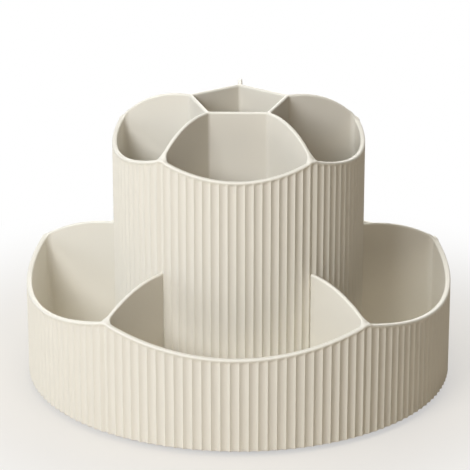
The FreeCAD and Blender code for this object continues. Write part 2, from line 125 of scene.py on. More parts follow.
# --- shader groups that several finishes share ------------
@dataclass(frozen=True)
class Wire:
    """One link from a node's output to a node's input, each given by its name or position."""

    source: Node
    output: str | int
    target: Node
    input: str | int


def link_all(tree: NodeTree, wires: list[Wire]) -> None:
    """Link the source of every wire to its target, in the tree that holds their nodes."""
    for wire in wires:
        tree.links.new(wire.source.outputs[wire.output], wire.target.inputs[wire.input])


def set_inputs(node: Node, values: dict[str, object]) -> Node:
    """Set a node's inputs by their names and return the node."""
    for label, value in values.items():
        node.inputs[label].default_value = value
    return node


def add_node(tree: NodeTree, kind: str, inputs: dict[str, object] | None = None,
             **settings: object) -> Node:
    """Add a node with its inputs' values and its own settings.

    Args:
        tree: the node tree that takes it.
        kind: the node's type, without the prefix ShaderNode.
        inputs: input name to value.
        settings: the node's own properties.

    Returns:
        The new node.
    """
    node = tree.nodes.new("ShaderNode" + kind)
    for key, value in settings.items():
        setattr(node, key, value)
    return set_inputs(node, inputs or {})


class SurfaceGroups:
    """Shader node groups built once: fine moulding grain, and slow tone changes with painted rim
    highlights.
    """

    GRAIN_SCALE = 2200.0
    RIPPLE = 0.35
    FINE_DETAIL = 3.0
    FINE_ROUGHNESS = 0.6
    SLOW_SCALE = 90.0
    SLOW_DETAIL = 2.0
    MASK_FROM, MASK_TO = 0.35, 0.65
    DRIFT_SCALE = 14.0
    DRIFT_DETAIL = 3.0
    DRIFT_FROM, DRIFT_TO = 0.3, 0.7

    def __init__(self) -> None:
        """Build both groups."""
        self.grain = self._build_grain()
        self.tone = self._build_tone_with_highlight()

    @staticmethod
    def _new_group(name: str, inputs: dict[str, tuple[str, object]],
                   outputs: dict[str, str]) -> tuple[NodeTree, Node, Node]:
        """Start a shader group with named sockets.

        Args:
            name: the group's name.
            inputs: socket name to (socket type, default value); types go without NodeSocket.
            outputs: socket name to socket type.

        Returns:
            The group, its input node and its output node.
        """
        group = bpy.data.node_groups.new(name, "ShaderNodeTree")
        for label, (kind, default) in inputs.items():
            socket = group.interface.new_socket(label, in_out="INPUT", socket_type="NodeSocket" + kind)
            socket.default_value = default
        for label, kind in outputs.items():
            group.interface.new_socket(label, in_out="OUTPUT", socket_type="NodeSocket" + kind)
        return group, group.nodes.new("NodeGroupInput"), group.nodes.new("NodeGroupOutput")

    def _build_grain(self) -> NodeTree:
        """Build the grain group: spark-eroded mould texture plus a faint slow ripple.

        Returns:
            A group that takes a point, a scale and a share of ripple, and gives a height and a mask.
        """
        group, given, out = self._new_group(
            "mould_grain",
            {"Point": ("Vector", (0.0, 0.0, 0.0)), "Scale": ("Float", self.GRAIN_SCALE),
             "Ripple": ("Float", self.RIPPLE)},
            {"Height": "Float", "Mask": "Float"})
        fine = add_node(group, "TexNoise", {"Detail": self.FINE_DETAIL,
                                            "Roughness": self.FINE_ROUGHNESS})
        slow = add_node(group, "TexNoise", {"Scale": self.SLOW_SCALE, "Detail": self.SLOW_DETAIL})
        blend = add_node(group, "Mix", data_type="FLOAT")
        spread = add_node(group, "MapRange", {"From Min": self.MASK_FROM, "From Max": self.MASK_TO})
        link_all(group, [
            Wire(given, "Point", fine, "Vector"),
            Wire(given, "Scale", fine, "Scale"),
            Wire(given, "Point", slow, "Vector"),
            Wire(given, "Ripple", blend, MixInput.FACTOR),
            Wire(fine, "Fac", blend, MixInput.FLOAT_A),
            Wire(slow, "Fac", blend, MixInput.FLOAT_B),
            Wire(blend, MixOutput.FLOAT, out, "Height"),
            Wire(fine, "Fac", spread, "Value"),
            Wire(spread, "Result", out, "Mask"),
        ])
        return group

    def _build_tone_with_highlight(self) -> NodeTree:
        """Build the tone group: a colour that drifts between two tones, lightened on marked rims as a
        painted highlight.

        Returns:
            A group that takes a point, two tones, a highlight tone and the rims' highlight share, and
            gives a colour.
        """
        group, given, out = self._new_group(
            "tone_with_painted_highlight",
            {"Point": ("Vector", (0.0, 0.0, 0.0)),
             "Tone": ("Color", (0.8, 0.8, 0.8, 1.0)),
             "Drift": ("Color", (0.8, 0.8, 0.8, 1.0)),
             "Highlight Tone": ("Color", (0.9, 0.9, 0.9, 1.0)),
             "Edge": ("Float", 0.0)},
            {"Color": "Color"})
        drift = add_node(group, "TexNoise", {"Scale": self.DRIFT_SCALE, "Detail": self.DRIFT_DETAIL})
        contrast = add_node(group, "MapRange", {"From Min": self.DRIFT_FROM, "From Max": self.DRIFT_TO})
        body = add_node(group, "Mix", data_type="RGBA")
        # painted highlight: lightens the colour towards the highlight tone on marked rims
        rim = add_node(group, "Mix", data_type="RGBA")
        link_all(group, [
            Wire(given, "Point", drift, "Vector"),
            Wire(drift, "Fac", contrast, "Value"),
            Wire(contrast, "Result", body, MixInput.FACTOR),
            Wire(given, "Tone", body, MixInput.COLOUR_A),
            Wire(given, "Drift", body, MixInput.COLOUR_B),
            Wire(given, "Edge", rim, MixInput.FACTOR),
            Wire(body, MixOutput.COLOUR, rim, MixInput.COLOUR_A),
            Wire(given, "Highlight Tone", rim, MixInput.COLOUR_B),
            Wire(rim, MixOutput.COLOUR, out, "Color"),
        ])
        return group


@dataclass(frozen=True)
class Finish:
    """A finish built from both shared groups.

    Attributes:
        tone: the main colour, which drifts towards drift; on marked rims it turns to edge, a painted
            highlight.
        roughness: least and greatest roughness.
        grain_depth: height of the grain in metres.
        ripple: share of the slow ripple.
    """

    name: str
    tone: Colour
    drift: Colour
    # painted highlight colour, shown on marked rims
    edge: Colour
    roughness: tuple[float, float]
    grain_scale: float
    grain_depth: float
    ripple: float = SurfaceGroups.RIPPLE
    metallic: float = 0.0
    specular: float = 0.5

    def build(self, groups: SurfaceGroups) -> Material:
        """Build the material.

        Args:
            groups: the shared shader groups.

        Returns:
            A material whose colour, roughness and normal vary over the surface.
        """
        material = bpy.data.materials.new(self.name)
        material.use_nodes = True
        material.diffuse_color = (*self.tone, 1.0)
        tree = material.node_tree
        shader = set_inputs(tree.nodes["Principled BSDF"], {
            "Metallic": self.metallic, "Specular IOR Level": self.specular})
        place = add_node(tree, "TexCoord")
        # painted highlight: the mesh's rim share turns the colour towards the edge colour
        edge = add_node(tree, "Attribute", attribute_name=RIM_HIGHLIGHT)
        tone = add_node(tree, "Group", {"Tone": (*self.tone, 1.0), "Drift": (*self.drift, 1.0),
                                        "Highlight Tone": (*self.edge, 1.0)}, node_tree=groups.tone)
        grain = add_node(tree, "Group", {"Scale": self.grain_scale, "Ripple": self.ripple},
                         node_tree=groups.grain)
        smoothest, roughest = self.roughness
        rough = add_node(tree, "MapRange", {"To Min": smoothest, "To Max": roughest})
        bump = add_node(tree, "Bump", {"Distance": self.grain_depth})
        link_all(tree, [
            Wire(place, "Object", tone, "Point"),
            Wire(place, "Object", grain, "Point"),
            Wire(edge, "Fac", tone, "Edge"),
            Wire(tone, "Color", shader, "Base Color"),
            Wire(grain, "Mask", rough, "Value"),
            Wire(rough, "Result", shader, "Roughness"),
            Wire(grain, "Height", bump, "Height"),
            Wire(bump, "Normal", shader, "Normal"),
        ])
        return material


def cream(name: str) -> Finish:
    """Return the cream finish of the two tiers, under its own name."""
    # the third colour is the painted highlight on the rims
    return Finish(name, (0.80, 0.77, 0.695), (0.785, 0.753, 0.675), (0.85, 0.83, 0.765),
                  (0.46, 0.58), SurfaceGroups.GRAIN_SCALE, 0.00002, specular=0.3)


def plate(name: str) -> Finish:
    """Return the greyer finish of the two plates below, under its own name."""
    return Finish(name, (0.72, 0.70, 0.63), (0.69, 0.67, 0.60), (0.8, 0.78, 0.7),
                  (0.45, 0.6), 1600.0, 0.00003)


# The third colour of each finish is a painted rim highlight; only the two tiers' meshes mark rims for
# it.
FINISHES: dict[Slot, Finish] = {
    Slot.TRAY: cream("cream_tray"),
    Slot.TOWER: cream("cream_tower"),
    Slot.TURNTABLE: plate("turntable_moulding"),
    Slot.BASE: plate("base_moulding"),
    Slot.CAGE: Finish("cage_moulding", (0.78, 0.78, 0.75), (0.74, 0.74, 0.71), (0.85, 0.85, 0.82),
                      (0.35, 0.5), 1200.0, 0.00002),
    Slot.BUSH: Finish("acetal_bush", (0.86, 0.86, 0.84), (0.83, 0.83, 0.81), (0.9, 0.9, 0.88),
                      (0.22, 0.32), 1500.0, 0.00001),
    Slot.ZINC: Finish("zinc_plate", (0.62, 0.63, 0.66), (0.55, 0.57, 0.62), (0.75, 0.76, 0.78),
                      (0.25, 0.42), 3000.0, 0.00001, metallic=1.0),
    Slot.BALL: Finish("polished_ball", (0.70, 0.70, 0.72), (0.66, 0.66, 0.68), (0.8, 0.8, 0.82),
                      (0.06, 0.12), 2500.0, 0.000002, metallic=1.0),
    Slot.FOOT: Finish("rubber_foot", (0.045, 0.045, 0.045), (0.035, 0.035, 0.036), (0.08, 0.08, 0.08),
                      (0.7, 0.85), 1800.0, 0.00006, specular=0.3),
}


# --- surfaces on grids ------------------------------------
def new_object(name: str, data: ID) -> Object:
    """Put a new object in the scene.

    Args:
        name: the object's name.
        data: the mesh, lamp or camera that it holds.

    Returns:
        The object.
    """
    made = bpy.data.objects.new(name, data)
    bpy.context.scene.collection.objects.link(made)
    return made


class Skin:
    """Collects grids of points and welds them into one mesh of closed surfaces."""

    def __init__(self) -> None:
        """Start with nothing."""
        self.points: list[Array] = []
        # each point's share of the painted rim highlight
        self.edges: list[Array] = []
        self.quads: list[Array] = []
        self.count = 0

    def add_round(self, plan: Array, height: Array | float, copies: int,
                  edge: Array | float = 0.0) -> None:
        """Add a grid at equal turns about the axis, each of its points joined to its four neighbours.

        Args:
            plan: plan positions x + iy in millimetres, rows by columns.
            height: heights in millimetres, of a shape that broadcasts to the plan's.
            copies: how many there are in a full turn.
            edge: each point's share of the painted rim highlight, from 0 to 1.
        """
        level, highlight_share = (np.broadcast_to(values, plan.shape) for values in (height, edge))
        own = np.arange(plan.size).reshape(plan.shape)
        corners = (own[:-1, :-1], own[:-1, 1:], own[1:, 1:], own[1:, :-1])
        quads = np.stack(corners, axis=-1).reshape(-1, 4)
        for step in range(copies):
            placed = plan * turn(FRONT + step * 2 * math.pi / copies)
            self.points.append(MM * np.stack([placed.real, placed.imag, level], axis=-1).reshape(-1, 3))
            self.edges.append(highlight_share.reshape(-1))
            self.quads.append(self.count + quads)
            self.count += plan.size

    def build(self, name: str) -> Object:
        """Weld the grids where they meet, turn their faces outwards and shade them smooth.

        Args:
            name: the object's name.

        Returns:
            The new object, linked to the scene.
        """
        mesh = bpy.data.meshes.new(name)
        mesh.from_pydata(np.concatenate(self.points).tolist(), [], np.concatenate(self.quads).tolist())
        # painted highlight: each point's share of it on the rims, read by the finishes
        highlight_share = mesh.attributes.new(RIM_HIGHLIGHT, "FLOAT", "POINT")
        highlight_share.data.foreach_set("value", np.concatenate(self.edges).astype(np.float32))
        work = bmesh.new()
        work.from_mesh(mesh)
        bmesh.ops.remove_doubles(work, verts=work.verts, dist=WELD)
        bmesh.ops.dissolve_degenerate(work, edges=work.edges, dist=WELD)
        bmesh.ops.recalc_face_normals(work, faces=work.faces)
        loose = sum(1 for edge in work.edges if not edge.is_manifold)
        work.to_mesh(mesh)
        work.free()
        mesh.polygons.foreach_set("use_smooth", np.ones(len(mesh.polygons), bool))
        mesh.set_sharp_from_angle(angle=SHARP_FROM)
        mesh.update()
        log.info("%s: %d faces, %d open edges", name, len(mesh.polygons), loose)
        return new_object(name, mesh)


def turn(angle: float | Array) -> complex | Array:
    """Return the unit plan vector at an angle, which also turns a position by that angle."""
    return np.exp(1j * angle)


def lerp(start: Numbers, end: Numbers, share: Numbers) -> Numbers:
    """Return what lies a share of the way from start to end."""
    return start + (end - start) * share


def smooth_step(value: Array, low: float, high: float) -> Array:
    """Return 0 below low and 1 above high, joined by the cubic 3s^2 - 2s^3."""
    share = np.clip((value - low) / (high - low), 0.0, 1.0)
    return share * share * (3.0 - 2.0 * share)


@dataclass
class Path:
    """A wall line in plan.

    Attributes:
        line: points along the wall's face.
        into: unit vectors into the wall.
        land: points on the wall's middle line, where its top meets the top of the other face.
    """

    line: Array
    into: Array
    land: Array

    def then(self, other: "Path") -> "Path":
        """Return this path followed by another that starts where it ends."""
        return Path(np.append(self.line, other.line[1:]), np.append(self.into, other.into[1:]),
                    np.append(self.land, other.land[1:]))

    def mirror(self) -> "Path":
        """Return the mirror image in the sector's centre line, run backwards."""
        return Path(*(np.conj(part)[::-1] for part in (self.line, self.into, self.land)))


@dataclass
class FlutedTier:
    """A round fluted wall with a dipped rim and equal dividers.

    Plan positions are complex numbers in millimetres.  One sector is drawn about the positive real
    axis, from the divider at minus half a sector to the one at plus half a sector, and then turned.

    Attributes:
        radius: distance from the axis to the ridges between flutes.
        foot, floor, under: heights of the wall's foot, the floor and the floor's underside.
        rim_low, rim_high: heights of the rim halfway between two dividers and at a divider.
        fin_start, fin_shoulder: distances from the axis at which a divider and its fall start.
        fin_high: height of a divider's level top.
        fin, wall: thicknesses of a divider and of the wall.
        corner: radius of the fillet between a divider and the wall.
        seam_depth: depth of the vee behind a divider.
        rim_round, fin_round: radii of the rim's outer edge, and of its inner edge and the dividers'.
        run_out: height over which the flutes reach their depth below the rim.
        foot_round, floor_round: radii of the wall's lower edge and of the fillet along the floor.
        support: distance from a rounded edge to the row that keeps the flat beside it flat.
        round_steps: faces across a rounded edge, and one more than down the run-out.
        face_rows, fin_columns, corner_columns: points down a wall, along a divider, on a fillet.
        hollow_columns, seam_columns: columns across a flute, and across half a vee.
        finest: columns nearer to a fillet's end than a flute's angle over this are left out.
        inside_mark: share of the painted rim highlight on the first row below an inner rounded edge.
        outside_fade: how many rows the painted rim highlight takes to fade down the outside.
    """

    radius: float
    wall: float
    foot: float
    floor: float
    under: float
    rim_low: float
    rim_high: float
    fin_start: float
    fin_shoulder: float
    fin_high: float
    flutes: int
    sectors: int = 5
    fin: float = 2.0
    corner: float = 2.5
    flute_depth: float = 0.68
    seam_depth: float = 1.0
    rim_round: float = 0.9
    run_out: float = 1.5
    fin_round: float = 0.8
    foot_round: float = 0.5
    floor_round: float = 1.6
    support: float = 0.5
    round_steps: int = 5
    face_rows: int = 4
    fin_columns: int = 16
    corner_columns: int = 6
    hollow_columns: tuple[float, ...] = (-0.96, -0.8, -0.5, -0.17, 0.17, 0.5, 0.8, 0.96, 1.0)
    seam_columns: tuple[float, ...] = (0.0, 0.1, 0.5, 0.88, 1.0)
    finest: float = 60.0
    inside_mark: float = 0.55
    outside_fade: int = 3

    @property
    def half(self) -> float:
        """Half a sector's angle."""
        return math.pi / self.sectors

    @property
    def along(self) -> complex:
        """The divider's direction at the sector's start."""
        return turn(-self.half)

    @property
    def inner(self) -> float:
        """Radius of the wall's inner face."""
        return self.radius - self.wall

    @property
    def middle(self) -> float:
        """Radius of the wall's middle line."""
        return self.radius - self.wall / 2

    @property
    def pitch(self) -> float:
        """A flute's angle."""
        return 2 * self.half / self.flutes

    @property
    def quarter(self) -> tuple[Array, Array]:
        """A quarter circle's offsets 1 - sin and 1 - cos of its angle, one row for each angle."""
        bend = np.linspace(0.0, QUARTER_TURN, self.round_steps + 1)[:, None]
        return 1 - np.sin(bend), 1 - np.cos(bend)

    @property
    def corner_centre(self) -> complex:
        """Centre of the fillet between the divider and the wall."""
        off = self.fin / 2 + self.corner
        return (math.sqrt((self.inner - self.corner) ** 2 - off ** 2) + 1j * off) * self.along

    def flat_rows(self, upper: Array, lower: Array | float) -> Array:
        """Return the heights of the rows down a wall's flat, which keep clear of its rounded ends."""
        shares = np.linspace(0.0, 1.0, self.face_rows)[:, None]
        return lerp(upper - self.support, lower + self.support, shares)

    def fin_reach(self, plan: complex) -> float:
        """Return how far from the axis, along the divider, a plan position lies."""
        return (plan * np.conj(self.along)).real

    def rim(self, angle: Array) -> Array:
        """Return the rim's height: one arc per sector, from rim_high at its ends to rim_low between.

        Args:
            angle: angles from the sector's centre line.

        Returns:
            Heights in millimetres.
        """
        chord, rise = self.radius * math.sin(self.half), self.rim_high - self.rim_low
        sweep = (chord ** 2 + rise ** 2) / (2 * rise)
        return self.rim_low + sweep - np.sqrt(sweep ** 2 - (self.radius * np.sin(angle)) ** 2)

    def fin_top(self, reach: Array) -> Array:
        """Return a divider's height: level up to its shoulder, then an arc down to the rim.

        Args:
            reach: distances from the axis along the divider.

        Returns:
            Heights in millimetres.
        """
        run, drop = self.middle - self.fin_shoulder, self.fin_high - self.rim_high
        sweep = (run ** 2 + drop ** 2) / (2 * drop)
        past = np.clip(reach - self.fin_shoulder, 0.0, run)
        return self.fin_high - sweep + np.sqrt(sweep ** 2 - past ** 2)

    def top(self, plan: Array) -> Array:
        """Return the top's height: the divider's near it, easing to the rim's across the corner fillet.

        Args:
            plan: plan positions in the sector.

        Returns:
            Heights in millimetres.
        """
        nearest = np.where(plan.imag > 0, np.conj(plan), plan)
        local = nearest * np.conj(self.along)
        rim = self.rim(np.angle(nearest))
        eased = 1.0 - smooth_step(local.imag, self.fin / 2, self.fin / 2 + self.corner)
        halfway = (self.middle + self.fin_start) / 2
        near = np.where(np.abs(nearest) < halfway, 1.0, eased)
        return rim + np.maximum(self.fin_top(local.real) - rim, 0.0) * near

    def fluted(self, angle: Array, share: float | Array = 1.0) -> Array:
        """Return the outer radius: ridges at full radius, hollows between them and a vee at seams.

        With x running from -1 to 1 across a flute, the depth is flute_depth (1 - x^2), in a vee
        seam_depth (1 - |x|), below a parabola that stands for the chord from ridge to ridge.

        Args:
            angle: angles from the sector's centre line.
            share: share of the full depth; at 0 the wall is flat from ridge to ridge.

        Returns:
            Radii in millimetres.
        """
        step = (angle + self.half) / self.pitch
        flute = np.round(step)
        across = np.abs(step - flute) * 2
        chord_dip = self.radius * (1 - math.cos(self.pitch / 2)) * (1 - across ** 2)
        seam = (flute == 0) | (flute == self.flutes)
        cut = np.where(seam, self.seam_depth * (1 - across), self.flute_depth * (1 - across ** 2))
        return self.radius - chord_dip - share * cut

    def wall_angles(self) -> Array:
        """Return the angles of the wall's columns.

        Returns:
            Rising angles: a few across each flute and vee, and those of the corner fillets' ends.
        """
        across = np.array(self.hollow_columns)
        seam = self.pitch / 2 * np.array(self.seam_columns)
        hollows = self.pitch * (np.arange(1, self.flutes)[:, None] + across / 2) - self.half
        angles = np.concatenate([seam - self.half, hollows.reshape(-1), self.half - seam[:-1]])
        end = np.angle(self.corner_centre)
        clear = np.abs(np.abs(angles) + end) > self.pitch / self.finest
        return np.unique(np.round(np.append(angles[clear], [end, -end]), ANGLE_DIGITS))

    def divider_path(self, start: float) -> Path:
        """Return a divider's face from a distance along it to the corner fillet.

        Args:
            start: the distance from the axis.

        Returns:
            A straight path half a divider's thickness beside its middle line.
        """
        end = self.fin_reach(self.corner_centre)
        reach = np.append(np.linspace(start, end - self.support, self.fin_columns), end)
        ones = np.ones(len(reach))
        return Path((reach + 0.5j * self.fin) * self.along, -1j * self.along * ones, reach * self.along)

    def corner_path(self, angles: Array) -> Path:
        """Return the corner fillet: an arc whose wall top meets the divider's middle, then the wall's.

        Args:
            angles: the wall columns' angles.

        Returns:
            The path from the divider's face to the wall's inner face.
        """
        centre = self.corner_centre
        behind = np.angle(self.middle * self.along - centre)
        first = np.linspace(-self.half - QUARTER_TURN, behind, self.corner_columns)
        reach = np.linspace(self.fin_reach(centre), self.middle, self.corner_columns)
        shared = angles[angles <= np.angle(centre) + SAME_ANGLE]
        share = (shared - shared[0]) / (shared[-1] - shared[0])
        way = turn(np.append(first, lerp(behind, np.angle(centre), share)[1:]))
        land = np.append(reach * self.along, self.middle * turn(shared)[1:])
        return Path(centre + self.corner * way, way, land)

    def wall_path(self, angles: Array) -> Path:
        """Return the wall's inner face between the two corner fillets.

        Args:
            angles: the wall columns' angles.

        Returns:
            An arc about the axis.
        """
        end = np.angle(self.corner_centre)
        way = turn(angles[(angles >= end - SAME_ANGLE) & (angles <= -end + SAME_ANGLE)])
        return Path(self.inner * way, way, self.middle * way)

    def wall_rows(self, path: Path, top: Array) -> Grid:
        """Return the grid from the wall's middle line over its rounded edge and down to the floor.

        The edge is a quarter circle of fin_round, the foot a quarter circle of floor_round that runs
        the other way, and a row close beside each keeps the flat between them flat in shading.

        Args:
            path: the wall line.
            top: the height of the wall's top along the line.

        Returns:
            Plan positions and heights, rows by columns, and each row's share of painted rim highlight.
        """
        out, down = self.quarter
        edge_plan = path.line + path.into * self.fin_round * out
        edge_height = top - self.fin_round * down
        foot_plan = path.line - path.into * self.floor_round * down
        foot_height = self.floor + self.floor_round * out + 0 * top
        face_height = self.flat_rows(edge_height[-1], foot_height[0])
        face_plan = path.line + 0 * face_height
        plan = np.concatenate([path.land[None], edge_plan, face_plan, foot_plan])
        height = np.concatenate([self.top(path.land)[None], edge_height, face_height, foot_height])
        # painted highlight: full over the rounded edge, part on the row below it
        highlight_rows = np.zeros(len(plan))
        highlight_rows[:len(edge_plan)] = 1.0
        highlight_rows[len(edge_plan)] = self.inside_mark
        return plan, height, highlight_rows[:, None]

    def outside_rows(self, angles: Array) -> Grid:
        """Return the grid from the wall's middle line over the rim, down the flutes and under the foot.

        The rim's edge is a quarter circle of rim_round on the plain wall.  Below it the flutes deepen
        by a smooth step over the run-out's height.

        Args:
            angles: the wall columns' angles.

        Returns:
            Plan positions and heights, rows by columns, and each row's share of painted rim highlight.
        """
        outer = self.fluted(angles)
        top = self.top(self.middle * turn(angles))
        out, down = self.quarter
        rim_radius = self.fluted(angles, 0.0) - self.rim_round * out
        rim_height = top - self.rim_round * down
        sink = np.linspace(0.0, 1.0, self.round_steps)[1:, None]
        sink_radius = self.fluted(angles, smooth_step(sink, 0.0, 1.0))
        sink_height = rim_height[-1] - self.run_out * sink
        face_height = self.flat_rows(sink_height[-1], self.foot + self.foot_round)
        foot_radius = outer - self.foot_round * down
        foot_height = self.foot + self.foot_round * out + 0 * outer
        flat = np.ones_like(angles)
        inner = np.array([self.inner, self.inner])[:, None] * flat
        radius = np.concatenate([[self.middle * flat], rim_radius, sink_radius, outer + 0 * face_height,
                                 foot_radius, inner])
        height = np.concatenate([[top], rim_height, sink_height, face_height, foot_height,
                                 [self.foot * flat], [self.under * flat]])
        # painted highlight: full over the rim, fading over the rows down the outside
        rows_left = len(rim_radius) + 1 - np.arange(len(radius))
        highlight_rows = np.clip(rows_left / self.outside_fade, 0.0, 1.0)
        return radius * turn(angles), height, highlight_rows[:, None]

    def add_walls(self, skin: Skin, start: Path, angles: Array) -> Grid:
        """Add the compartments' sides, then the tier's outside.

        Args:
            skin: the surface that takes them.
            start: the sides' line up to the end of the first corner fillet.
            angles: the wall columns' angles.

        Returns:
            The grid of one compartment's sides.
        """
        path = start.then(self.wall_path(angles)).then(start.mirror())
        sides = self.wall_rows(path, self.top(path.line))
        for plan, height, highlight_rows in (sides, self.outside_rows(angles)):
            skin.add_round(plan, height, self.sectors, highlight_rows)
        return sides

    def close(self, skin: Skin, loop: Array, start: float, circles: list[tuple[float, float]]) -> None:
        """Close a loop about the axis: a grid that runs inwards through circles to the axis.

        Args:
            skin: the surface that takes it.
            loop: plan positions along one sector of the loop.
            start: the loop's height.
            circles: radius and height of each following circle.
        """
        radius, height = np.array(circles).T[:, :, None]
        plan = np.concatenate([loop[None], radius * turn(np.angle(loop))])
        skin.add_round(plan, np.concatenate([[[start]], height]), self.sectors)


def side_patch(left: Array, top: Array, bottom: Array, share: Array) -> Array:
    """Return a Coons patch: the two rulings between opposite sides added, less the corners' bilinear.

    Args:
        left: the side from the bottom's start to the top's start; the right side is its mirror image.
        top: the far side, from left to right.
        bottom: the near side, from left to right.
        share: how far along each of the top's points lies, from 0 to 1.

    Returns:
        Plan positions, one row per point of left and one column per point of top.
    """
    rise = (np.abs(left - left[0]) / abs(left[-1] - left[0]))[:, None]
    right = np.conj(left)
    across = lerp(bottom, top, rise)
    upward = lerp(left[:, None], right[:, None], share)
    corners = lerp(lerp(bottom[0], bottom[-1], share), lerp(top[0], top[-1], share), rise)
    return across + upward - corners


@dataclass
class LowerTray(FlutedTier):
    """The low outer tier: five trays round the tower, on a floor with ribs below it.

    Attributes:
        fin_point: how far the blunt point of a divider's free end stands out.
        dome_radius, dome_top: size of the floor's raised middle.
        cavity_radius, cavity_top: size of the hollow below that.
        ribs, rib_start, rib_low: how many ribs, where they start and how low they reach.
        rib_sunk: how far a rib reaches into the floor.
        rib_steps: faces round a rib's lower half.
    """

    radius: float = 110.0
    wall: float = 2.8
    foot: float = 2.5
    floor: float = 13.7
    under: float = 11.2
    rim_low: float = 51.2
    rim_high: float = 61.5
    fin_start: float = 64.0
    fin_point: float = 0.48
    fin_shoulder: float = 68.3
    fin_high: float = 73.3
    flutes: int = 30
    dome_radius: float = 14.0
    dome_top: float = 19.0
    cavity_radius: float = 11.5
    cavity_top: float = 16.5
    ribs: int = 20
    rib_start: float = 94.0
    rib_width: float = 1.6
    rib_low: float = 5.2
    rib_sunk: float = 0.4
    rib_steps: int = 8

    def build(self) -> Object:
        """Build the tray's shell.

        Returns:
            The tray as one piece.
        """
        skin = Skin()
        angles = self.wall_angles()
        side = self.divider_path(self.fin_start)
        plan, height, highlight_rows = self.add_walls(skin, side.then(self.corner_path(angles)), angles)
        near = self.add_floor(skin, plan[-1], len(side.line))
        cap = self.fin_end(plan[:, 0])
        skin.add_round(cap, height[:, :1], self.sectors, highlight_rows)
        point = cap[-1, 1]
        loop = np.concatenate([[point], near, [np.conj(point)]])
        below = self.inner * turn(angles)
        for ring, level, radius, top in (
                (loop, self.floor, self.dome_radius, self.dome_top),
                (below, self.under, self.cavity_radius, self.cavity_top)):
            self.close(skin, ring, level, [(radius, level), (radius, top), (0.0, top)])
        self.add_ribs(skin)
        return skin.build("tray_shell")

    def add_floor(self, skin: Skin, foot: Array, count: int) -> Array:
        """Add the compartments' floor: a Coons patch from the dividers' near ends to the wall.

        Args:
            skin: the surface that takes it.
            foot: plan positions along the foot of a compartment's sides.
            count: how many of them lie along the first divider.

        Returns:
            Plan positions along the floor's near side, an arc about the axis.
        """
        far = foot[count - 1:len(foot) - count + 1]
        length = np.append(0.0, np.cumsum(np.abs(np.diff(far))))
        share = length / length[-1]
        near = abs(foot[0]) * turn(np.angle(foot[0]) * (1 - 2 * share))
        skin.add_round(side_patch(foot[:count], far, near, share), self.floor, self.sectors)
        return near

    def fin_end(self, side: Array) -> Array:
        """Return a divider's free end, which comes to a blunt point on the divider's middle line.

        Args:
            side: plan positions down the end of the divider's face.

        Returns:
            Plan positions: one side, the point and the other side, one row for each of side.
        """
        end = side * np.conj(self.along)
        point = self.fin_point * np.minimum(end.imag / (self.fin / 2), 1.0)
        return np.stack([np.conj(end), end.real - point, end], axis=1) * self.along

    def add_ribs(self, skin: Skin) -> None:
        """Add the ribs: a section with a half-round lower side, carried along a radial line and closed.

        Args:
            skin: the surface that takes them.
        """
        bend = np.linspace(0.0, math.pi, self.rib_steps + 1)
        across = np.concatenate([[1.0], np.cos(bend), [-1.0, 1.0]]) * self.rib_width / 2
        lower = self.rib_low + self.rib_width / 2 * (1 - np.sin(bend))
        sunk = self.under + self.rib_sunk
        height = np.concatenate([[sunk], lower, [sunk, sunk]])
        reach = np.array([self.rib_start, self.rib_start, self.middle, self.middle])[:, None]
        wide = np.array([0.0, 1.0, 1.0, 0.0])[:, None]
        skin.add_round((reach + 1j * across * wide) * turn(-FRONT), height, self.ribs)


